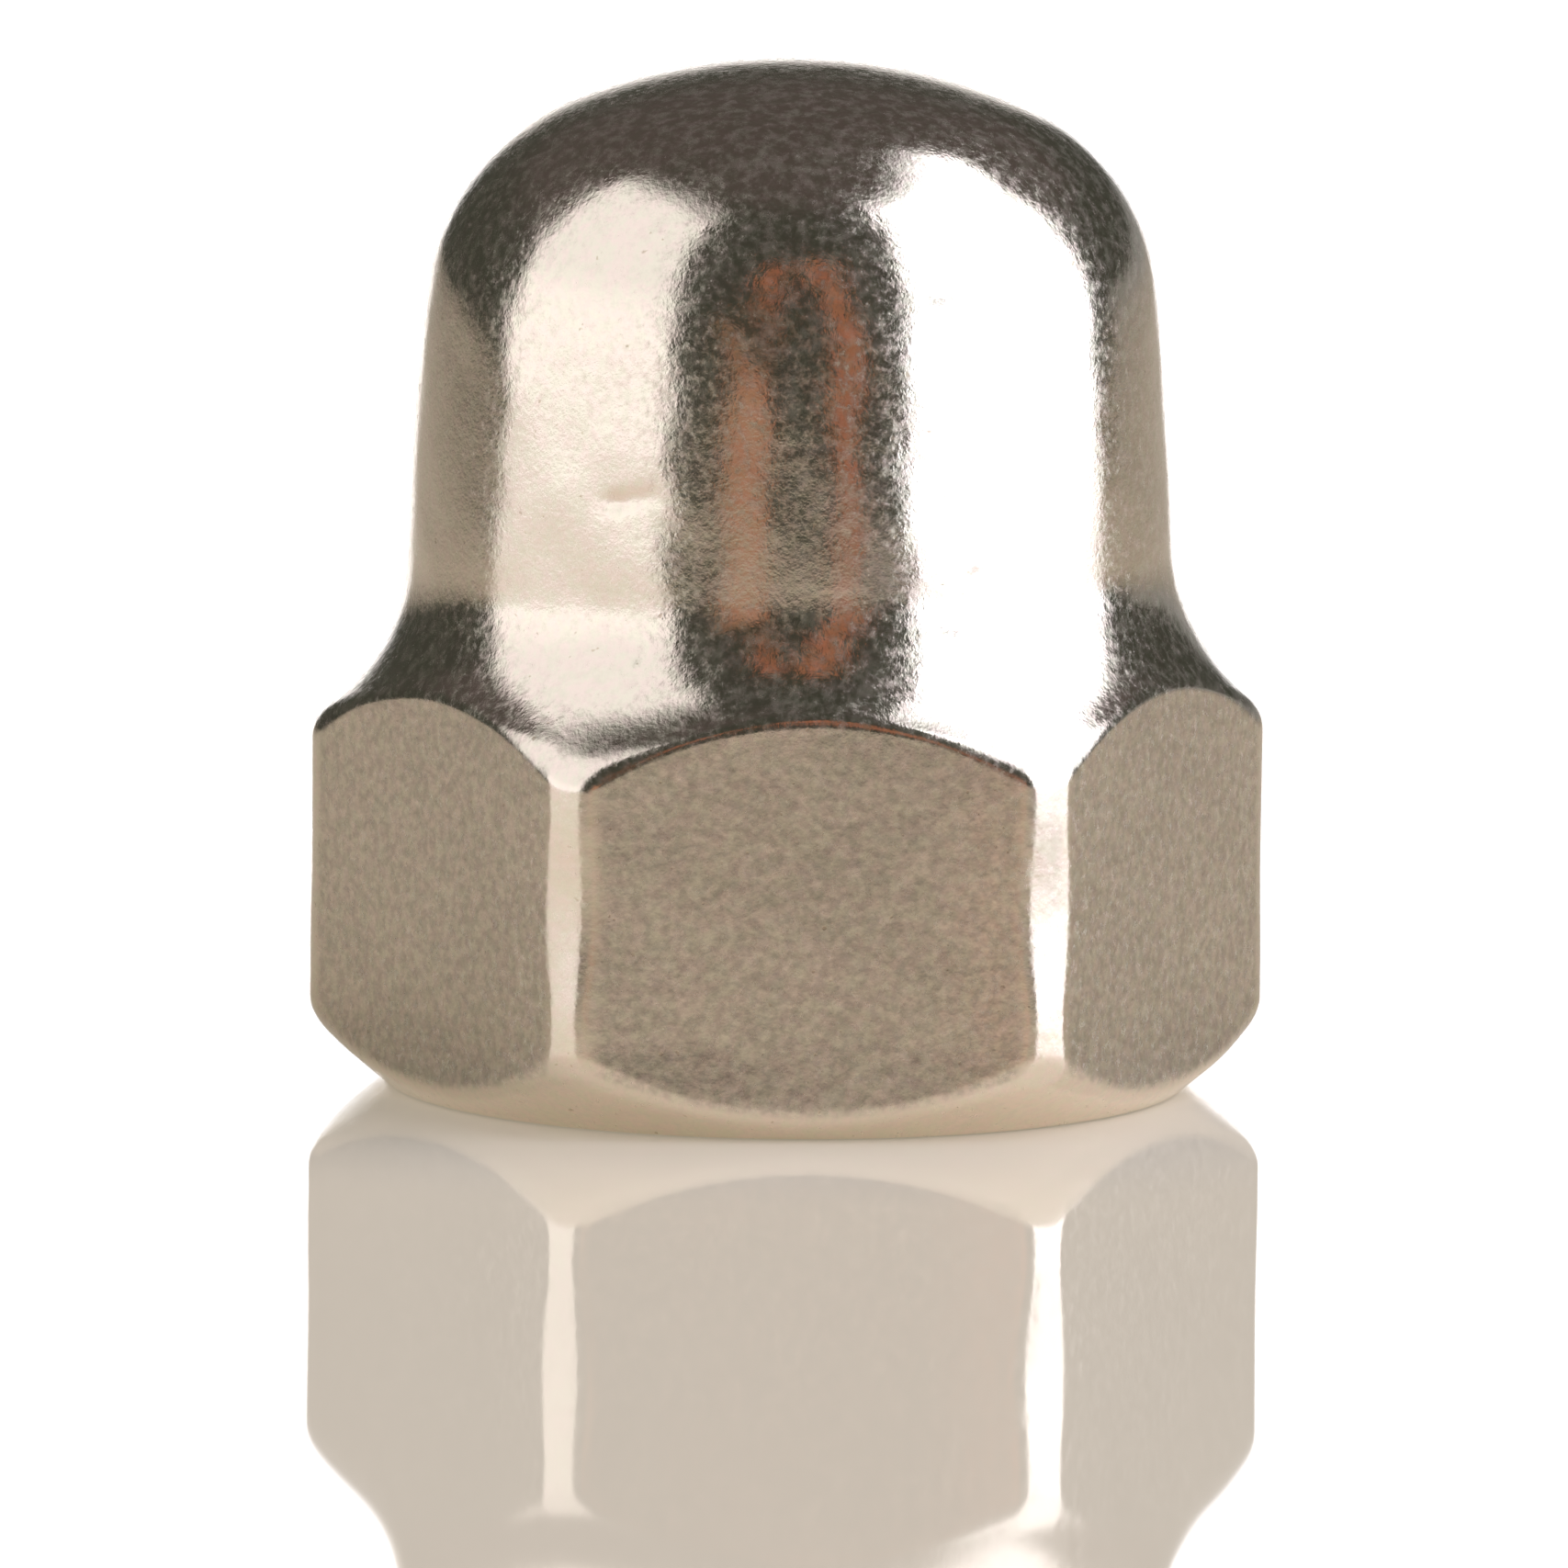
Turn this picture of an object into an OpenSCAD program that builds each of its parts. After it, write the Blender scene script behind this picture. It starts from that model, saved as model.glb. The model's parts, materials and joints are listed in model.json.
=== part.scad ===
// Cap nut (acorn nut): a hexagon with a closed, domed crown over a blind tapped hole.
// One solid piece. It stands on its bearing face, with +Z along the thread's axis.
// The origin is the centre of the bearing face. Two flats face -Y and +Y.

/* [Hexagon] */
// Width across the flats, which is the wrench size
across_flats = 10; // [8.5:0.1:13]
// Radius that rounds the six upright corners
corner_r = 0.75; // [0.2:0.05:1.1]
// Height at which the upright corners meet the upper chamfer
corner_top = 4.28; // [3.4:0.02:5.4]

/* [Chamfers] */
// How far the rim of the bearing face stands in from the flats
bearing_setback = 0.3; // [0.1:0.05:0.6]
// Angle of the lower chamfer above the bearing face, in degrees
lower_chamfer = 40; // [25:1:50]
// Angle of the upper chamfer above the horizontal, in degrees
upper_chamfer = 44.5; // [30:0.5:50]
// Radius where the upright corners roll into both chamfers
chamfer_r = 0.55; // [0.2:0.05:0.7]

/* [Dome] */
// Overall height, from the bearing face to the top of the crown
overall_h = 12.15; // [10.1:0.05:16]
// How far the dome's side stands in from the flats, at the height of the corners
dome_setback = 0.38; // [0.2:0.02:0.8]
// Lean of the dome's side towards the axis, in degrees
dome_taper = 3.7; // [1:0.1:6]
// Radius of the hollow neck between the upper chamfer and the dome
neck_r = 2.05; // [0.6:0.05:2.5]
// Radius of the dome's shoulder
shoulder_r = 2.68; // [1.6:0.02:3.3]
// Radius of the crown
crown_r = 7.15; // [6:0.05:9]

/* [Tapped hole] */
// Nominal diameter of the thread
thread_d = 6; // [4:0.5:6]
// Pitch of the thread
pitch = 1; // [0.7:0.05:1]
// Metal left between the drill's point and the top of the crown
crown_wall = 1.9; // [1.2:0.1:4]
// Angle of the drill's point, in degrees
drill_point = 118; // [90:1:140]
// Widening of the countersunk mouth beyond the nominal diameter
mouth_extra = 0.5; // [0.2:0.05:1]
// Angle across the countersink, in degrees
mouth_angle = 90; // [60:5:120]

/* [Hidden] */
$fn = 96;
// Cutting tools run this far past the faces that they cut
over = 1;
// Slack that keeps the chamfers' cylinder just clear of the rounded corners
envelope_slack = 0.02;
// Slack that makes each rounding arc cross the lines it joins, because a bare touch leaves slivers
arc_slack = 0.0005;

function unit(v) = v / norm(v);
function half_angle(corner, a, b) = acos(unit(a - corner) * unit(b - corner)) / 2;
function tangent_point(corner, a, b, r) = corner + unit(a - corner) * r / tan(half_angle(corner, a, b));
function arc_centre(corner, a, b, r) =
    corner + unit(unit(a - corner) + unit(b - corner)) * r / sin(half_angle(corner, a, b));

// Hexagon
flat_r = across_flats / 2;
sharp_corner_r = flat_r / cos(30);
rounded_corner_r = sharp_corner_r - corner_r * (1 / cos(30) - 1);
function hex_corner(i) = sharp_corner_r * [cos(60 * i), sin(60 * i)];

// Outline of the turned envelope: radius from the axis, then height
envelope_r = rounded_corner_r + envelope_slack;
bearing_rim = [flat_r - bearing_setback, 0];
lower_corner = [envelope_r, (envelope_r - bearing_rim.x) * tan(lower_chamfer)];
upper_corner = [envelope_r, corner_top];

// Dome's side: a straight line that leans in, drawn on past the top
side_foot = [flat_r - dome_setback, corner_top];
side_up = [-sin(dome_taper), cos(dome_taper)];
side_out = [cos(dome_taper), sin(dome_taper)];
side_end = side_foot + (overall_h + over - corner_top) / side_up.y * side_up;

// Neck: where the upper chamfer's line would meet the dome's side
chamfer_in = [-cos(upper_chamfer), sin(upper_chamfer)];
neck_run = (upper_corner - side_foot) * side_out / -(chamfer_in * side_out);
neck = upper_corner + neck_run * chamfer_in;
neck_start = tangent_point(neck, upper_corner, side_end, neck_r);
neck_end = tangent_point(neck, side_end, upper_corner, neck_r);

// Shoulder: an arc tangent to the side and, inside, to the crown
crown_centre = [0, overall_h - crown_r];
shoulder_line = side_foot - shoulder_r * side_out - crown_centre;
shoulder_along = shoulder_line * side_up;
shoulder_reach = crown_r - shoulder_r;
shoulder_rise = -shoulder_along
    + sqrt(pow(shoulder_along, 2) - shoulder_line * shoulder_line + pow(shoulder_reach, 2));
shoulder_centre = crown_centre + shoulder_line + shoulder_rise * side_up;
side_top = shoulder_centre + shoulder_r * side_out;
shoulder_top = crown_centre + crown_r * unit(shoulder_centre - crown_centre);

// Tapped hole: the tapping drill leaves the thread's minor diameter
bore_r = (thread_d - pitch) / 2;
point_h = bore_r / tan(drill_point / 2);
bore_depth = overall_h - crown_wall - point_h;
mouth_r = (thread_d + mouth_extra) / 2;
mouth_slope = tan(mouth_angle / 2);
mouth_depth = (mouth_r - bore_r) / mouth_slope;

// The waste beyond an arc, in the wedge between its two ends
module beyond_arc(centre, end_a, end_b, r) {
    difference() {
        polygon([centre, 2 * end_a - centre, 2 * end_b - centre]);
        translate(centre) circle(r = r);
    }
}

// The waste beyond the arc that rounds a sharp corner
module beyond_rounding(corner, a, b, r) {
    beyond_arc(
        arc_centre(corner, a, b, r),
        tangent_point(corner, a, b, r),
        tangent_point(corner, b, a, r),
        r + arc_slack
    );
}

// Hexagon with its six corners rounded
module hexagon_outline() {
    difference() {
        polygon([for (i = [0:5]) hex_corner(i)]);
        for (i = [0:5]) beyond_rounding(hex_corner(i), hex_corner(i - 1), hex_corner(i + 1), corner_r);
    }
}

// Half section of the outside: a sharp outline, less the waste beyond each rounding
module turned_outline() {
    difference() {
        polygon([
            [0, 0],
            bearing_rim,
            lower_corner,
            upper_corner,
            neck_start,
            neck_end,
            side_end,
            [0, side_end.y],
        ]);
        beyond_rounding(lower_corner, bearing_rim, upper_corner, chamfer_r);
        beyond_rounding(upper_corner, lower_corner, neck, chamfer_r);
        translate(arc_centre(neck, upper_corner, side_end, neck_r)) circle(r = neck_r + arc_slack);
        beyond_arc(shoulder_centre, side_top, shoulder_top, shoulder_r + arc_slack);
        beyond_arc(crown_centre, crown_centre + [crown_r, 0], crown_centre + [0, crown_r], crown_r);
    }
}

// Blind hole with its countersunk mouth and the drill's pointed end
module tapped_hole() {
    rotate_extrude()
        polygon([
            [0, -over],
            [mouth_r + over * mouth_slope, -over],
            [bore_r, mouth_depth],
            [bore_r, bore_depth],
            [0, bore_depth + point_h],
        ]);
}

module cap_nut() {
    color("silver")
        difference() {
            intersection() {
                translate([0, 0, -over]) linear_extrude(overall_h + 2 * over) hexagon_outline();
                rotate_extrude() turned_outline();
            }
            tapped_hole();
        }
}

cap_nut();
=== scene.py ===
# %% [markdown]
# # A domed cap nut
#
# A cap nut is a hexagon nut whose thread is closed off by a dome. This one is cold-forged
# steel with a bright nickel plate, made for an M6 thread and a 10 mm wrench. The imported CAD
# model is loaded first: it fixes where everything is and how large it is, and nothing below
# moves or resizes it. Lengths are in millimetres until a mesh is made, because that is how a
# nut is measured, and Blender's own unit here is the metre.

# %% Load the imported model
import json
import math

import bpy
import numpy as np
from mathutils import Matrix, Vector


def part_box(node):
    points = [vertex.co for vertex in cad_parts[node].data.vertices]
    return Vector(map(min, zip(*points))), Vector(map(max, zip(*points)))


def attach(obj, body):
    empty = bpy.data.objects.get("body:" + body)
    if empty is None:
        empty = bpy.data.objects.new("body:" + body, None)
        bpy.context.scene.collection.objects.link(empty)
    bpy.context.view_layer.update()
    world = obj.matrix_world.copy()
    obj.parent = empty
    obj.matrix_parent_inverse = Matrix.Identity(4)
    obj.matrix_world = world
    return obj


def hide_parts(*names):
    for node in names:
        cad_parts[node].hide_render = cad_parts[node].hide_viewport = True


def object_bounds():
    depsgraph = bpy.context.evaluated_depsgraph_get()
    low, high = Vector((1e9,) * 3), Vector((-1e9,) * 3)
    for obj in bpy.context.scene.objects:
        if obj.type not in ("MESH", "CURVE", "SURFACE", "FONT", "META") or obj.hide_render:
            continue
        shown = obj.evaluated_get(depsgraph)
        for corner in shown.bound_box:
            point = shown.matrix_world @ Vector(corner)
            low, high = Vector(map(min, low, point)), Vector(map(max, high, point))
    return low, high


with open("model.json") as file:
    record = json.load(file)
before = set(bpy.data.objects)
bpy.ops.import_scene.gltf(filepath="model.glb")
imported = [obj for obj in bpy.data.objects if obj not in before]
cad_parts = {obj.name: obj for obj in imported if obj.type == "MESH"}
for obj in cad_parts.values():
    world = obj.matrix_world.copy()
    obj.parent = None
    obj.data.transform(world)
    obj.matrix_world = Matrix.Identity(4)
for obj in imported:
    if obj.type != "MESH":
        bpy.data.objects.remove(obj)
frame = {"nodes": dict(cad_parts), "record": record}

MM = 0.001
cad_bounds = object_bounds()
print("CAD nodes:", sorted(frame["nodes"]))

# %% [markdown]
# ## Sizes
#
# The model's box gives the wrench size, the reach of the rounded corners and the height, and
# the record's thread mount gives the tapping drill's radius. What a box can't tell is named
# here as it would be on the drawing: angles, radii and depths. A corner rounded with radius r
# falls short of the sharp corner by r * (1 / cos 30 - 1), so the box also gives that radius.

# %% Sizes from the frame, and the drawing's own values
box_high = np.array(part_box("cap_nut")[1]) / MM
mounts = {mount["name"]: mount for mount in frame["record"]["mounts"]}
nut_height = box_high[2]
flat_r = box_high[1]
corner_reach = box_high[0]
hexagon_cos = math.cos(math.radians(30))
corner_round = (flat_r / hexagon_cos - corner_reach) / (1 / hexagon_cos - 1)

bearing_rim_r = flat_r - 0.30
rim_round = 0.10
lower_chamfer = math.radians(40)
upper_chamfer = math.radians(44.5)
corner_top = 4.28
dome_foot_r = flat_r - 0.38
dome_lean = math.radians(3.7)
neck_round = 2.05
shoulder_round = 2.68
crown_round = 7.15

bore_r = mounts["thread"]["dims"]["r_mm"]
pitch = 1.0
countersink = 0.75
mouth_r = bore_r + countersink
bore_depth = 8.748
drill_angle = math.radians(118)
point_height = bore_r / math.tan(drill_angle / 2)
print(f"wrench size {2 * flat_r:.2f}, height {nut_height:.2f}, corner radius {corner_round:.2f}")
print(f"bore radius {bore_r:.2f}, point reaches {bore_depth + point_height:.2f}")

# %% [markdown]
# ## The turned outline
#
# The die and the lathe leave a round shape: chamfered below and above the hexagon, hollow at
# the neck, and domed. One half section describes all of it, as a chain of lines and arcs. An
# arc that rounds a corner touches both lines, so it needs only the corner and a radius. The
# outline here runs past the hexagon, because the hexagon cuts it back in the next step. A
# Screw modifier could spin it into a round solid, but the hexagon would still have to be cut
# out of that, so the outline is kept as numbers.


# %% Lines and arcs of the half section
ARC_POINTS = 24


def unit(vector):
    return vector / np.linalg.norm(vector)


def arc(centre, start, end, count=ARC_POINTS):
    """Points round a centre, the short way from start to end."""
    first = math.atan2(*(start - centre)[::-1])
    turn = math.remainder(math.atan2(*(end - centre)[::-1]) - first, 2 * math.pi)
    angles = first + turn * np.linspace(0, 1, count)
    return centre + np.linalg.norm(start - centre) * np.stack([np.cos(angles), np.sin(angles)], 1)


def rounded(before, corner, after, radius):
    """The arc that rounds a corner between two straight lines."""
    back = unit(before - corner)
    ahead = unit(after - corner)
    half = math.acos(back @ ahead) / 2
    centre = corner + unit(back + ahead) * radius / math.sin(half)
    reach = radius / math.tan(half)
    return arc(centre, corner + back * reach, corner + ahead * reach)


def point(r, z):
    return np.array([r, z])


overrun_r = 6.2
corner_slack = 0.02
ring_width = 0.05
mouth_rim = point(mouth_r + ring_width, 0)
bearing_rim = point(bearing_rim_r, 0)
lower_end = point(overrun_r, (overrun_r - bearing_rim_r) * math.tan(lower_chamfer))
upper_rise = (corner_reach + corner_slack - overrun_r) * math.tan(upper_chamfer)
upper_end = point(overrun_r, corner_top + upper_rise)

side_foot = point(dome_foot_r, corner_top)
side_up = point(-math.sin(dome_lean), math.cos(dome_lean))
side_out = point(math.cos(dome_lean), math.sin(dome_lean))
chamfer_in = point(-math.cos(upper_chamfer), math.sin(upper_chamfer))
neck = upper_end + chamfer_in * ((upper_end - side_foot) @ side_out) / -(chamfer_in @ side_out)

crown_centre = point(0, nut_height - crown_round)
shoulder_foot = side_foot - shoulder_round * side_out - crown_centre
along = shoulder_foot @ side_up
between_centres = crown_round - shoulder_round
rise = -along + math.sqrt(along**2 - shoulder_foot @ shoulder_foot + between_centres**2)
shoulder_centre = crown_centre + shoulder_foot + rise * side_up
side_top = shoulder_centre + shoulder_round * side_out
shoulder_top = crown_centre + crown_round * unit(shoulder_centre - crown_centre)

outline = np.vstack([
    [mouth_rim],
    rounded(mouth_rim, bearing_rim, lower_end, rim_round),
    [lower_end, upper_end],
    rounded(upper_end, neck, side_top, neck_round),
    arc(shoulder_centre, side_top, shoulder_top, 60),
    arc(crown_centre, shoulder_top, point(0, nut_height), 40)[1:],
])
travel = np.concatenate([[0], np.cumsum(np.linalg.norm(np.diff(outline, axis=0), axis=1))])
print(f"outline: {len(outline)} points, {travel[-1]:.2f} mm long")

# %% Where each stretch of the outline starts and ends, and its softening
rim_start = 1
rim_end = ARC_POINTS
lower_tip = rim_end + 1
upper_tip = lower_tip + 1
neck_end = upper_tip + ARC_POINTS
side_end = neck_end + 1


def soften(amount, spacing=0.02):
    """The outline above the hexagon with its arcs eased into each other, as polishing does."""
    even = np.arange(0, travel[-1] + spacing, spacing)
    weights = np.hanning(int(amount / spacing) | 1)
    weights = weights / weights.sum()
    margin = len(weights) // 2
    eased = [even]
    for part in np.stack([np.interp(even, travel, outline[:, axis]) for axis in (0, 1)]):
        smooth = np.convolve(np.pad(part, margin, mode="edge"), weights, mode="valid")
        keep = (even < travel[upper_tip] - amount) | (even > travel[-1] - amount)
        eased.append(np.where(keep, part, smooth))
    return eased


polish_reach = 1.0
even_travel, even_r, even_z = soften(polish_reach)
print(f"softened outline: {len(even_travel)} points")

# %% [markdown]
# ## The outer skin
#
# The skin is one grid of columns round the axis and rows along the outline. Each column takes
# whichever is nearer the axis, the hexagon or the turned outline, and a smooth minimum rolls
# the edge between them as forging and barrel polishing do. The rows crowd together where that
# edge runs, which differs from column to column, so the arches over the flats stay clean. A
# boolean of two solids would give the same faces but hard edges, and a bevel on curved edges
# like these tends to tear.


# %% Hexagon with rounded corners, whose radius may change with height
def angle_off_corner(azimuth):
    """Angle to the nearest corner, from 0 on a corner to 30 degrees in the middle of a flat."""
    return np.abs((azimuth + math.pi / 6) % (math.pi / 3) - math.pi / 6)


def hexagon_r(azimuth, rounding):
    """Radius of the hexagon at an angle from +X, with a corner there and every 60 degrees."""
    off_corner = angle_off_corner(azimuth)
    centre = (flat_r - rounding) / hexagon_cos
    on_arc = centre * np.cos(off_corner) + np.sqrt(
        np.maximum(rounding**2 - (centre * np.sin(off_corner)) ** 2, 0)
    )
    on_flat = flat_r / np.cos(math.pi / 6 - off_corner)
    arc_ends = np.arctan2(rounding / 2, centre + rounding * hexagon_cos)
    return np.where(off_corner < arc_ends, on_arc, on_flat)


def smooth_min(a, b, width):
    """The smaller of two radii, with the edge between them rolled over."""
    blend = np.clip(0.5 + 0.5 * (b - a) / width, 0, 1)
    return b + (a - b) * blend - width * blend * (1 - blend)


def ease(value, low, high):
    """Rises smoothly from 0 at low to 1 at high."""
    share = np.clip((value - low) / (high - low), 0, 1)
    return share * share * (3 - 2 * share)


# %% [markdown]
# A forged nut is never quite true. The dome sits a little off the hexagon's axis, so the upper
# chamfer is wider on one side, the upright corners swell and thin along their length, and the
# die leaves slow waves of a hundredth of a millimetre, which a mirror finish shows at once.
# These are small offsets of the radius: humps of a chosen height and width, and sines from a
# fixed seed. Dents and scratches are narrow humps pressed inwards. Sculpting could do the same
# by hand, but offsets of a known size keep the skin inside the model's box.

# %% Unevenness of the forging
columns_per_side = 64
across = np.linspace(-1, 1, columns_per_side, endpoint=False)
column_azimuth = np.concatenate([
    math.radians(60) * side + math.radians(30) * (0.5 * across + 0.5 * across**3) for side in range(6)
])
chance = np.random.default_rng(6)
print(f"{len(column_azimuth)} columns round the nut")


def waves(azimuth, height, size, around, upright, count=7):
    """Slow waves over the skin: a sum of sines that closes round the axis."""
    total = 0
    for _ in range(count):
        turns = chance.integers(around[0], around[1] + 1)
        length = chance.uniform(*upright)
        tilt = chance.choice([-1, 1])
        start = chance.uniform(0, 2 * math.pi)
        total = total + np.sin(turns * azimuth + tilt * 2 * math.pi * height / length + start)
    return size * total / math.sqrt(count)


def hump(height, middle, width):
    return np.exp(-(((height - middle) / width) ** 2))


def corner_rounding(azimuth, height):
    """The corner's radius: it swells at mid height, and thins above and below."""
    corner = np.round(azimuth / math.radians(60)) % 6
    swell_middle = 2.75 - 0.12 * np.cos(2.1 * corner)
    swell = 0.10 * hump(height, swell_middle, 0.70)
    thin = 0.17 * hump(height, 1.4, 0.6) + 0.05 * hump(height, 3.8, 0.5)
    at_side = corner % 3 == 0
    return corner_round + np.where(at_side, 0.5, 1.0) * swell - np.where(at_side, 0, 1) * thin


# %% Small damage: an azimuth from the front, a height, and the mark's size
marks = [
    dict(azimuth=-28.5, height=7.43, length=0.74, width=0.22, depth=0.015, tilt=10),
    dict(azimuth=-30.5, height=7.38, length=0.25, width=0.14, depth=0.012, tilt=-12),
    dict(azimuth=-25.0, height=5.55, length=0.16, width=0.14, depth=0.014, tilt=30),
    dict(azimuth=25.5, height=6.55, length=0.20, width=0.12, depth=0.012, tilt=40),
    dict(azimuth=45.5, height=8.15, length=0.14, width=0.12, depth=0.010, tilt=0),
    dict(azimuth=-3.0, height=8.10, length=0.30, width=0.05, depth=0.008, tilt=20),
    dict(azimuth=9.0, height=8.05, length=0.34, width=0.05, depth=0.008, tilt=-14),
    dict(azimuth=24.2, height=2.62, length=0.48, width=0.05, depth=0.007, tilt=78),
]


def mark_depth(azimuth, height, radius):
    """How deep all the marks together press the skin in."""
    total = 0
    for mark in marks:
        centre = math.radians(mark["azimuth"] - 90)
        tilt = math.radians(mark["tilt"])
        aside = np.remainder(azimuth - centre + math.pi, 2 * math.pi) - math.pi
        aside = aside * radius
        up = height - mark["height"]
        lengthways = (aside * math.cos(tilt) + up * math.sin(tilt)) / (mark["length"] / 2)
        crossways = (up * math.cos(tilt) - aside * math.sin(tilt)) / (mark["width"] / 2)
        total = total + mark["depth"] * np.exp(-(lengthways**4) - crossways**2)
    return total


print(f"{len(marks)} marks, the deepest {max(mark['depth'] for mark in marks):.3f} mm")

# %% Rows: how far along the outline each row of each column lies
base_r = hexagon_r(column_azimuth, corner_round)
lower_slope = slice(rim_end, lower_tip + 1)
low_edge = np.interp(base_r, outline[lower_slope, 0], travel[lower_slope])
high_edge = np.interp(-base_r, -outline[upper_tip:, 0], travel[upper_tip:])


def stretch(start, end, count, ends=False):
    """Rows between two places, which may each differ from column to column."""
    shares = np.linspace(0, 1, count, endpoint=ends)[:, None]
    ones = np.ones(len(column_azimuth))
    return start * ones + shares * (end * ones - start * ones)


edge_reach = 0.34
chamfer_reach = edge_reach * 0.7
neck_reach = edge_reach * 0.6
crown_hole = 0.05
rows = np.vstack([
    stretch(0, travel[rim_start], 5),
    stretch(travel[rim_start], travel[rim_end], 4),
    stretch(travel[rim_end], low_edge - chamfer_reach, 3),
    stretch(low_edge - chamfer_reach, low_edge + edge_reach, 12),
    stretch(low_edge + edge_reach, high_edge - edge_reach, 40),
    stretch(high_edge - edge_reach, high_edge + neck_reach, 14),
    stretch(high_edge + neck_reach, travel[neck_end], 24),
    stretch(travel[neck_end], travel[side_end], 48),
    stretch(travel[side_end], travel[-1] - crown_hole, 52, ends=True),
])
print(f"skin: {rows.shape[0]} rows of {rows.shape[1]} columns")

# %% Skin radii and heights
azimuth = np.broadcast_to(column_azimuth, rows.shape)
turned_r = np.interp(rows, even_travel, even_r)
skin_z = np.interp(rows, even_travel, even_z)

dome_shift = 0.06
shifted_towards = math.radians(-10)
off_axis = dome_shift * np.cos(azimuth - shifted_towards)
off_axis = off_axis * ease(skin_z, 3.3, 4.2) * (1 - ease(skin_z, 5.2, 6.4))
barrelled_by = 0.030
side_bulge = barrelled_by * np.maximum(1 - ((skin_z - 7.7) / 1.7) ** 2, -0.4)
side_bulge = side_bulge * ease(skin_z, 5.6, 6.6) * (1 - ease(skin_z, 9.0, 9.9))
turned_r = turned_r + off_axis + side_bulge
print(f"turned outline: up to {skin_z.max():.2f} mm high, off axis by {off_axis.max():.3f} mm")

# %% The hexagon, and the rolled edge between it and the turned outline
on_corner = ease(base_r, flat_r + 0.15, corner_reach)
lower_roll = 0.15 + 0.15 * on_corner
upper_roll = 0.07 + 0.16 * on_corner
edge_roll = np.where(skin_z < corner_top / 2, lower_roll, upper_roll)
flats_fall_by = 0.046
fall = -flats_fall_by * np.cos(3 * azimuth) ** 12
hexagon = hexagon_r(azimuth, corner_rounding(azimuth, skin_z)) + fall
skin_r = smooth_min(hexagon, turned_r, edge_roll)
print(f"edges rolled by {edge_roll.min():.2f} to {edge_roll.max():.2f} mm")

# %% Die waves, orange peel and the marks
on_wall = ease(skin_z, 0.4, 1.2)
long_waves = waves(azimuth, skin_z, size=0.006, around=(2, 9), upright=(3.0, 7.0))
short_waves = waves(azimuth, skin_z, size=0.002, around=(5, 16), upright=(1.0, 2.6), count=12)
die_waves = (long_waves + short_waves) * (0.5 + 0.5 * ease(skin_z, 4.2, 5.0))
peel = waves(azimuth, skin_z, size=0.001, around=(18, 46), upright=(0.6, 1.6), count=16)
peel = peel * ease(skin_z, 4.6, 5.2)
off_crown = 1 - ease(skin_z, nut_height - 1.2, nut_height - 0.2)
wave_room = 0.010
skin_r = skin_r - on_wall * off_crown * (wave_room + np.maximum(die_waves + peel, -wave_room))
skin_r = skin_r - mark_depth(azimuth, skin_z, skin_r)
off_corner = np.degrees(angle_off_corner(azimuth))
on_flat = ease(off_corner, 2.9, 4.3) * ease(turned_r - hexagon, 0.0, 0.12)
print(f"skin reaches {skin_r.max():.3f} out and {skin_z.max():.3f} up")

# %% [markdown]
# ## The tapped hole
#
# A tap cuts a right-hand thread in a drilled hole: 60 degree flanks, narrow flats at crest and
# root, running out where the tap's taper ends, and a countersunk mouth. Radius as a function
# of angle and height says all of that, because the phase height / pitch - turns climbs one
# pitch each turn. A screw modifier would give a loose helix that still has to be joined up
# with the hole, while this grid is closed from the start. It has a quarter of the skin's
# columns, and a ring of flat polygons on the bearing face joins four columns to one.

# %% Thread, countersink, plain bore and the drill's point
skin_per_hole = 4
hole_columns = len(column_azimuth) // skin_per_hole
hole_azimuth = column_azimuth[::skin_per_hole]
thread_depth = 0.5413 * pitch
crest_half = 1 / 8
root_half = 1 / 16
thread_end = bore_depth - pitch
run_out_length = 1.4 * pitch
mouth_rows = np.linspace(0, countersink, 12)
rows_per_pitch = 18
thread_rows = np.arange(mouth_rows[-1], bore_depth, pitch / rows_per_pitch)[1:]
hole_z = np.concatenate([mouth_rows, thread_rows, [bore_depth]])[:, None]
phase = hole_z / pitch - hole_azimuth / (2 * math.pi)
from_crest = np.abs(phase - np.round(phase))
cut = np.clip((from_crest - crest_half) / (1 / 2 - root_half - crest_half), 0, 1)
run_out = 1 - ease(hole_z, thread_end - run_out_length, thread_end)
hole_r = bore_r + thread_depth * cut * run_out
hole_r = np.maximum(hole_r, mouth_r - hole_z)
print(f"hole: {len(hole_z)} rows of {hole_columns} columns")

# %% [markdown]
# ## The mesh
#
# Both grids become one closed surface: the skin's rows from the bearing face up to the pole of
# the crown, the hole's rows from its mouth up to the drill's point, and the flat ring between
# them. The hole's faces use their own finish, so they get the second material index. How much
# a point belongs to one of the six flats is kept with the mesh, because the flats are duller.


# %% Join the grids into one closed mesh
def grid_points(azimuths, radii, heights):
    """Points of a grid, from cylinder coordinates."""
    heights = np.broadcast_to(heights, radii.shape)
    return np.stack([radii * np.cos(azimuths), radii * np.sin(azimuths), heights], -1).reshape(-1, 3)


def grid_faces(first, row_count, column_count, inward=False):
    """Quads between neighbouring rows, closed round the axis."""
    row_starts = first + np.arange(row_count - 1)[:, None] * column_count
    here = row_starts + np.arange(column_count)
    beside = row_starts + (np.arange(column_count) + 1) % column_count
    quads = np.stack([here, beside, beside + column_count, here + column_count], -1).reshape(-1, 4)
    return quads[:, ::-1] if inward else quads


def fan(ring, tip, inward=False):
    """Triangles from a ring to its tip."""
    after = np.roll(ring, -1)
    return [(b, a, tip) if inward else (a, b, tip) for a, b in zip(ring.tolist(), after.tolist())]


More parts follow.
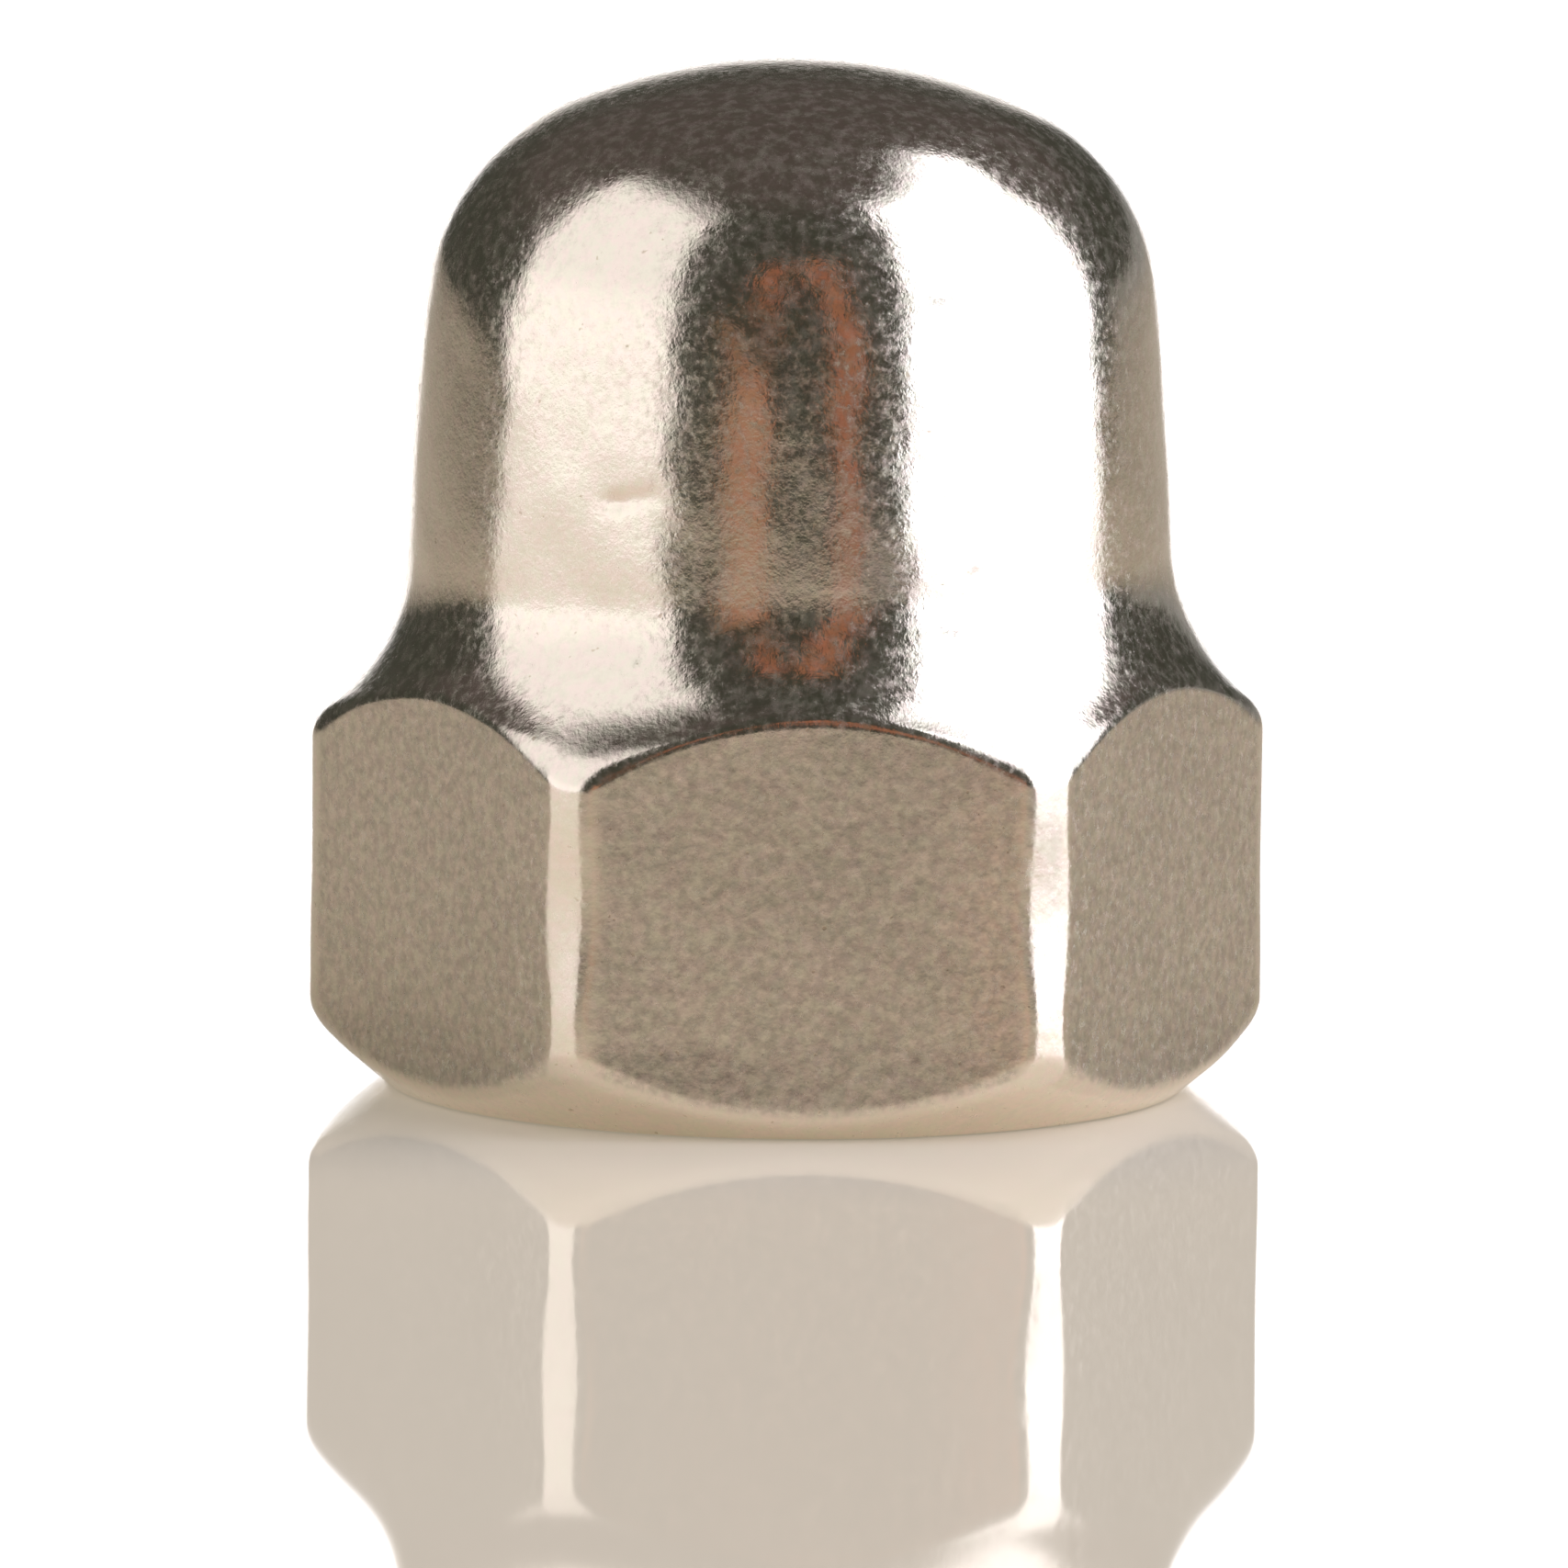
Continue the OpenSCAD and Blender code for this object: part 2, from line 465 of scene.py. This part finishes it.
# %% Number the points of both grids
skin_points = grid_points(azimuth, skin_r, skin_z)
hole_points = grid_points(hole_azimuth, hole_r, hole_z)
hole_first = len(skin_points)
crown_tip = hole_first + len(hole_points)
drill_tip = crown_tip + 1
points = np.vstack([
    skin_points,
    hole_points,
    [[0, 0, nut_height], [0, 0, bore_depth + point_height]],
])
print(f"{len(points)} points, {len(hole_points)} of them in the hole")

# %% Faces of the skin, the bearing face and the hole
column_count = len(column_azimuth)
skin_faces = grid_faces(0, len(rows), column_count).tolist()
skin_faces += fan(np.arange(column_count) + (len(rows) - 1) * column_count, crown_tip)
for i in range(hole_columns):
    after = (i + 1) % hole_columns
    ring = [(skin_per_hole * i + step) % column_count for step in range(skin_per_hole + 1)]
    skin_faces.append([hole_first + i, hole_first + after, *ring[::-1]])
hole_faces = grid_faces(hole_first, len(hole_z), hole_columns, inward=True).tolist()
last_ring = hole_first + (len(hole_z) - 1) * hole_columns + np.arange(hole_columns)
hole_faces += fan(last_ring, drill_tip, inward=True)
print(f"{len(skin_faces)} faces outside, {len(hole_faces)} in the hole")

# %% The nut's mesh and object
sharp_edge = math.radians(38)
mesh = bpy.data.meshes.new("cap_nut_plated")
mesh.from_pydata((points * MM).tolist(), [], skin_faces + hole_faces)
mesh.polygons.foreach_set("use_smooth", np.ones(len(mesh.polygons), bool))
flat_share = mesh.attributes.new("on_flat", "FLOAT", "POINT")
flat_share.data.foreach_set("value", np.append(on_flat.ravel(), np.zeros(len(hole_points) + 2)))
in_hole = np.arange(len(mesh.polygons)) >= len(skin_faces)
mesh.set_sharp_from_angle(angle=sharp_edge)
nut = bpy.data.objects.new("cap_nut_plated", mesh)
bpy.context.scene.collection.objects.link(nut)
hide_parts("cap_nut")
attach(nut, "root")
triangles = sum(len(face) - 2 for face in skin_faces + hole_faces)
print(f"mesh: {triangles} triangles, valid: {not mesh.validate()}")

# %% [markdown]
# ## Shader maths in plain Python
#
# A material is a graph of nodes. To write one as sums and products, a small class wraps an
# output socket and overloads the operators, so that 1 - mask adds a Subtract node. Every other
# node comes from one method, which takes the node's type, its settings and its inputs.


# %% The class that writes node graphs
class Wire:
    """A node's output. Sums and products with it add Math nodes to its tree."""

    def __init__(self, tree, socket):
        self.tree = tree
        self.socket = socket

    def node(self, kind, settings=(), inputs=(), out=0):
        """Adds a node: settings first, then inputs by name or number, as values or wires."""
        made = self.tree.nodes.new(kind)
        for name, value in dict(settings).items():
            setattr(made, name, value)
        for name, value in dict(inputs).items():
            if isinstance(value, Wire):
                self.tree.links.new(value.socket, made.inputs[name])
            else:
                made.inputs[name].default_value = value
        return Wire(self.tree, made.outputs[out]) if len(made.outputs) else None

    def maths(self, operation, *values):
        return self.node("ShaderNodeMath", {"operation": operation}, dict(enumerate(values)))

    def __add__(self, other):
        return self.maths("ADD", self, other)

    def __sub__(self, other):
        return self.maths("SUBTRACT", self, other)

    def __rsub__(self, other):
        return self.maths("SUBTRACT", other, self)

    def __mul__(self, other):
        return self.maths("MULTIPLY", self, other)

    def __truediv__(self, other):
        return self.maths("DIVIDE", self, other)

    def __neg__(self):
        return self.maths("MULTIPLY", self, -1)

    def __abs__(self):
        return self.maths("ABSOLUTE", self)

    __radd__ = __add__
    __rmul__ = __mul__

    def step(self, low, high):
        """Rises smoothly from 0 at low to 1 at high."""
        settings = {"interpolation_type": "SMOOTHSTEP"}
        inputs = {"Value": self, "From Min": low, "From Max": high}
        return self.node("ShaderNodeMapRange", settings, inputs)

    def blend(self, colour_a, colour_b):
        """Colour a where this wire is 0, and colour b where it is 1."""
        inputs = {0: self, 6: colour_a, 7: colour_b}
        return self.node("ShaderNodeMix", {"data_type": "RGBA"}, inputs, out=2)

    def axis(self, name):
        """One of the three numbers of a vector."""
        return self.node("ShaderNodeSeparateXYZ", {}, {"Vector": self}, out=name)


def new_graph(owner):
    """Empties an owner's node tree and returns a wire to build from."""
    owner.use_nodes = True
    owner.node_tree.nodes.clear()
    return Wire(owner.node_tree, None)


def rgb(red, green, blue):
    return (red, green, blue, 1)


# %% [markdown]
# ## Nickel plate
#
# Nickel is a warm metal: it reflects less blue than red. Barrel plating over forged steel isn't
# a clean mirror. The skin has a grain of about a twelfth of a millimetre, over a softer orange
# peel, so the edge of every reflection breaks up into specks. Scuffs spread the reflection
# where they lie, and a thin film of dust lifts the dark parts. The flats were drawn through a
# die, so they are rougher and blotchier than the polished dome and corners. All of it is noise
# in the object's own space, so it sits still on the nut from every side. An image would need
# an unwrapped mesh, and would blur close up.


# %% The plated finish
def grain(graph, place, size_mm, detail=2.0, roughness=0.5, offset=0.0):
    """Noise whose features measure about size_mm across, from 0 to 1."""
    moved = graph.node(
        "ShaderNodeVectorMath",
        {"operation": "ADD"},
        {0: place, 1: (offset * MM, offset * MM, offset * MM)},
    )
    inputs = {"Vector": moved, "Scale": 1 / (size_mm * MM), "Detail": detail, "Roughness": roughness}
    return graph.node("ShaderNodeTexNoise", {}, inputs)


def plated_material():
    material = bpy.data.materials.new("bright_nickel_plate")
    graph = new_graph(material)
    place = graph.node("ShaderNodeTexCoord", {}, {}, out="Object")
    height = place.axis("Z") / MM
    on_hexagon = 1 - height.step(4.3, 5.0)
    on_flat = graph.node("ShaderNodeAttribute", {"attribute_name": "on_flat"}, {}, out="Fac")
    fine = grain(graph, place, 0.085, detail=2.5, roughness=0.6)
    finer = grain(graph, place, 0.034, detail=1.0, offset=40)
    peel_noise = grain(graph, place, 0.26, offset=80)
    speck = grain(graph, place, 0.10, detail=1.0, offset=120).step(0.73, 0.79)
    scuffed = grain(graph, place, 0.11, detail=3.0, roughness=0.65, offset=160).step(0.38, 0.78)
    pinholes = grain(graph, place, 0.055, detail=1.0, offset=200).step(0.50, 0.74)
    dusty = grain(graph, place, 0.16, detail=3.0, roughness=0.65, offset=240).step(0.42, 0.70)
    blotch = grain(graph, place, 0.12, detail=3.0, roughness=0.65, offset=280).step(0.32, 0.68)
    hue = grain(graph, place, 0.17, detail=3.0, roughness=0.6).step(0.34, 0.66)

    yellowish = rgb(0.685, 0.630, 0.505)
    pinkish = rgb(0.720, 0.610, 0.520)
    dull_grey = rgb(0.05, 0.05, 0.06)
    brown = rgb(0.34, 0.25, 0.14)
    worn = (on_flat * (blotch * 0.26 + 0.04)).blend(hue.blend(yellowish, pinkish), dull_grey)
    colour = (speck * 0.4).blend(worn, brown)
    roughness = 0.100 + on_flat * 0.05 + scuffed * 0.19 + pinholes * 0.06 + speck * 0.10
    metallic = 1 - dusty * 0.10

    relief = fine * (1 - on_hexagon * 0.6) + finer * (0.35 - on_hexagon * 0.15)
    relief = relief + peel_noise * (0.7 + on_hexagon * 1.3) - speck * 0.2
    relief_depth = 0.0024 * MM
    bumped = graph.node(
        "ShaderNodeBump",
        {},
        {"Strength": 1.0, "Distance": relief_depth, "Height": relief},
    )
    shader = graph.node(
        "ShaderNodeBsdfPrincipled",
        {},
        {"Base Color": colour, "Metallic": metallic, "Roughness": roughness, "Normal": bumped},
    )
    graph.node("ShaderNodeOutputMaterial", {}, {"Surface": shader})
    return material


# %% The thin plate in the hole
def hole_material():
    material = bpy.data.materials.new("thin_plate_in_the_hole")
    graph = new_graph(material)
    place = graph.node("ShaderNodeTexCoord", {}, {}, out="Object")
    stain = grain(graph, place, 0.8, detail=3.0, roughness=0.6)
    tool = grain(graph, place, 0.05)
    colour = stain.step(0.35, 0.75).blend(rgb(0.50, 0.44, 0.36), rgb(0.30, 0.25, 0.20))
    tool_depth = 0.003 * MM
    bumped = graph.node("ShaderNodeBump", {}, {"Distance": tool_depth, "Height": tool})
    inputs = {"Base Color": colour, "Metallic": 1.0, "Roughness": 0.3 + stain * 0.2, "Normal": bumped}
    shader = graph.node("ShaderNodeBsdfPrincipled", {}, inputs)
    graph.node("ShaderNodeOutputMaterial", {}, {"Surface": shader})
    return material


# %% Put both finishes on the nut
nut.data.materials.append(plated_material())
nut.data.materials.append(hole_material())
mesh.polygons.foreach_set("material_index", in_hole.astype(np.int32))
print("finishes:", [material.name for material in nut.data.materials])

# %% [markdown]
# ## Floor
#
# The nut stands on a sheet of glossy white acrylic with a painted glow, like a light table,
# which stands in for the light falling on it. Its surface mirrors by the Fresnel rule: hardly at
# all from above, and almost fully at a grazing angle. The glow is dimmer right below the nut, a
# painted contact shadow, and at the front right, a painted shadow where the darker floor shows
# the nut's outline against the big soft box. A matt plane would be simpler, but would show no
# mirror image. From underneath the sheet is clear, so that the bearing face and the thread can
# be looked at. It lies a hair below the nut, because two faces in one plane would flicker.


# %% The acrylic sheet
def acrylic_with_painted_glow_material():
    material = bpy.data.materials.new("white_acrylic")
    graph = new_graph(material)
    place = graph.node("ShaderNodeTexCoord", {}, {}, out="Object")
    from_axis = graph.node("ShaderNodeVectorMath", {"operation": "LENGTH"}, {0: place}, out="Value")
    # Painted contact shadow: the glow is dimmer within 5 to 10.5 mm of the nut's axis.
    in_open = (from_axis / MM).step(5, 10.5)
    to_right = place.axis("X") / MM
    to_front = place.axis("Y") / -MM
    # Painted shadow at the front right: the glow fades to the unlit one from 9 to 18 mm right and 1
    # to 8 mm in front.
    painted_shadow_front_right = to_right.step(9, 18) * to_front.step(1, 8)
    # The floor's glow is painted light: emission standing in for the light falling on the sheet.
    shaded = graph.node("ShaderNodeEmission", {}, {"Color": rgb(0.27, 0.262, 0.215)})
    lit_up = graph.node("ShaderNodeEmission", {}, {"Color": rgb(0.39, 0.347, 0.247)})
    unlit = graph.node("ShaderNodeEmission", {}, {"Color": rgb(0.12, 0.11, 0.09)})
    glow_with_painted_contact_shadow = graph.node("ShaderNodeMixShader", {}, {0: in_open, 1: shaded, 2: lit_up})
    glow = graph.node("ShaderNodeMixShader", {}, {0: painted_shadow_front_right, 1: glow_with_painted_contact_shadow, 2: unlit})
    body = graph.node("ShaderNodeBsdfDiffuse", {}, {"Color": rgb(0.74, 0.645, 0.56)})
    lit = graph.node("ShaderNodeAddShader", {}, {0: glow, 1: body})
    gloss = graph.node("ShaderNodeBsdfAnisotropic", {}, {"Roughness": 0.03})
    mirror = graph.node("ShaderNodeFresnel", {}, {"IOR": 1.49})
    top = graph.node("ShaderNodeMixShader", {}, {0: mirror, 1: lit, 2: gloss})
    clear = graph.node("ShaderNodeBsdfTransparent")
    underside = graph.node("ShaderNodeNewGeometry", {}, {}, out="Backfacing")
    sheet = graph.node("ShaderNodeMixShader", {}, {0: underside, 1: top, 2: clear})
    graph.node("ShaderNodeOutputMaterial", {}, {"Surface": sheet})
    return material


# %% The floor's mesh and object
floor_reach = 0.30
floor_gap = 0.015 * MM
floor_mesh = bpy.data.meshes.new("studio_floor")
floor_corners = [(x, y, -floor_gap) for x, y in [(-1, -1), (1, -1), (1, 1), (-1, 1)]]
floor_corners = [(x * floor_reach, y * floor_reach, z) for x, y, z in floor_corners]
floor_mesh.from_pydata(floor_corners, [], [(0, 1, 2, 3)])
floor = bpy.data.objects.new("studio_floor", floor_mesh)
bpy.context.scene.collection.objects.link(floor)
floor_mesh.materials.append(acrylic_with_painted_glow_material())
print(f"floor: {2 * floor_reach:.2f} m square, {floor_gap / MM:.3f} mm below the nut")

# %% [markdown]
# ## Studio light
#
# Polished metal has no look of its own: it shows the room. This room is dark, with two tall
# soft boxes beside the camera, a white screen behind the nut, a low grey wall and a few warm
# things near the camera. The nut is a centimetre across and the lights are a metre away, so
# they may as well be infinitely far, and painting them on the world by direction gives soft
# edges and little noise. Area lights would do too, but each small lamp seen in a mirror needs
# many more samples. The camera itself sees plain white instead of the room.

# %% Directions on the sky
world = bpy.data.worlds.new("studio")
bpy.context.scene.world = world
sky = new_graph(world)
direction = sky.node("ShaderNodeTexCoord", {}, {}, out="Generated")
sky_x, sky_y, sky_z = (direction.axis(name) for name in "XYZ")
bearing = sky.maths("ARCTAN2", sky_x, -sky_y) * math.degrees(1)
elevation = sky.maths("ARCSINE", sky_z) * math.degrees(1)
ragged = sky.node("ShaderNodeTexNoise", {}, {"Vector": direction, "Scale": 9.0, "Detail": 3.0}) - 0.5


# %% Patches on the sky
def patch(middle, half_width, bottom, top, side_soft=3.0, top_soft=3.0, ragged_by=0.0):
    """A rectangle on the sky, 1 inside and 0 outside, in degrees from the nut's front."""
    off_side = abs(bearing - middle) + ragged * ragged_by
    inside = 1 - off_side.step(half_width - side_soft, half_width + side_soft)
    under = 1 - (elevation + ragged * ragged_by - top).step(-top_soft, top_soft)
    return inside * under * elevation.step(bottom - top_soft, bottom + top_soft)


def above(angle):
    """How far the direction lies above an elevation, in degrees."""
    return sky.maths("MAXIMUM", elevation - angle, 0)


# %% The room: walls, a lighter ceiling, brown things by the camera and a grey wall
below = -30
high_up = sky.maths("MAXIMUM", elevation.step(60, 75), elevation.step(20, 34) * sky_y.step(0, 0.3))
dark_wall = rgb(0.062, 0.065, 0.054)
ceiling = rgb(0.098, 0.086, 0.082)
room = high_up.blend(dark_wall, ceiling)
leaning = 15.0 - above(0) * 0.25
for middle, half_width, bottom, top, brown in [
    (-18.5, 7.0, below, 7, rgb(0.47, 0.25, 0.165)),
    (leaning, 3.7, below, 41, rgb(0.42, 0.18, 0.11)),
    (-10.5, 2.4, 4, 44, rgb(0.38, 0.16, 0.10)),
]:
    thing = patch(middle, half_width, bottom, top, side_soft=1.5, ragged_by=18)
    room = thing.blend(room, brown)
grey_wall = patch(142, 22, below, 3, side_soft=6, top_soft=2.5)
room = grey_wall.blend(room, rgb(0.30, 0.30, 0.29))
print("nodes of the room:", len(world.node_tree.nodes))

# %% The left soft box, which leans outwards above
left_lean = above(20) * 0.14
left_top = 64.5 - abs(bearing + 74) * 0.17
left_box = patch(-72 - left_lean, 31 + left_lean, below, left_top, side_soft=2.5, top_soft=6)
left_light = elevation.step(3, 26).blend(rgb(1.52, 1.52, 1.60), rgb(1.30, 1.30, 1.38))
room = left_box.blend(room, left_light)
print("with the left box:", len(world.node_tree.nodes))

# %% The right soft box, which is brighter, reaches overhead and has a small dim gap
right_outer = 105 + above(15) * 0.25 + above(45) * 1.6
right_inner = 35 + above(30) * 0.25
right_top = 66 - sky.maths("MAXIMUM", bearing - 118, 0) * 0.25
right_middle = (right_outer + right_inner) * 0.5
right_half = (right_outer - right_inner) * 0.5
right_box = patch(right_middle, right_half, below, right_top, side_soft=2.5, top_soft=6)
gap = patch(45, 6, 13, 17.5, side_soft=2, top_soft=1.5)
right_light = elevation.step(7, 11).blend(rgb(3.6, 3.8, 4.4), rgb(2.8, 2.9, 3.3))
right_light = gap.blend(right_light, rgb(0.85, 0.88, 1.0))
room = right_box.blend(room, right_light)
print("with the right box:", len(world.node_tree.nodes))

# %% The screen behind, and what the camera sees
screen = abs(bearing).step(163, 169) * (1 - elevation.step(12, 18))
screen_light = elevation.step(9.5, 12).blend(rgb(2.3, 2.3, 2.4), rgb(1.10, 1.08, 1.08))
room = screen.blend(room, screen_light)
to_camera = sky.node("ShaderNodeLightPath", {}, {}, out="Is Camera Ray")
seen = to_camera.blend(room, rgb(1, 1, 1))
background = sky.node("ShaderNodeBackground", {}, {"Color": seen, "Strength": 1.0})
sky.node("ShaderNodeOutputWorld", {}, {"Surface": background})
print("with the screen:", len(world.node_tree.nodes))

# %% [markdown]
# ## Camera
#
# The nut is seen from a little above the floor and slightly to the left of its front flat,
# through a long lens from over half a metre away, so its uprights stay parallel. The camera is
# moved, not shifted, to leave room for the mirror image below, and it leans by half a degree.

# %% A long lens, a little above the floor
view_azimuth = math.radians(-3.3)
view_elevation = math.radians(8.33)
view_distance = 576 * MM
frame_width = 18.44 * MM
aim_right = -0.0625 * MM
aim_up = -2.538 * MM
lean = math.radians(0.578)

back = Vector((
    math.sin(view_azimuth) * math.cos(view_elevation),
    -math.cos(view_azimuth) * math.cos(view_elevation),
    math.sin(view_elevation),
))
turn = (-back).to_track_quat("-Z", "Y").to_matrix() @ Matrix.Rotation(lean, 3, "Z")
lens = bpy.data.cameras.new("product_lens")
lens.sensor_width = 36
lens.lens = lens.sensor_width * view_distance / frame_width
lens.clip_start = 0.01
lens.clip_end = 10
camera = bpy.data.objects.new("product_camera", lens)
bpy.context.scene.collection.objects.link(camera)
middle = (Vector(cad_bounds[0]) + Vector(cad_bounds[1])) / 2
spot = middle + turn.col[0] * aim_right + turn.col[1] * aim_up + back * view_distance
camera.matrix_world = Matrix.Translation(spot) @ turn.to_4x4()
bpy.context.scene.camera = camera
bpy.context.scene.view_settings.view_transform = "Standard"
print(f"camera: {lens.lens:.0f} mm lens at {view_distance:.3f} m")
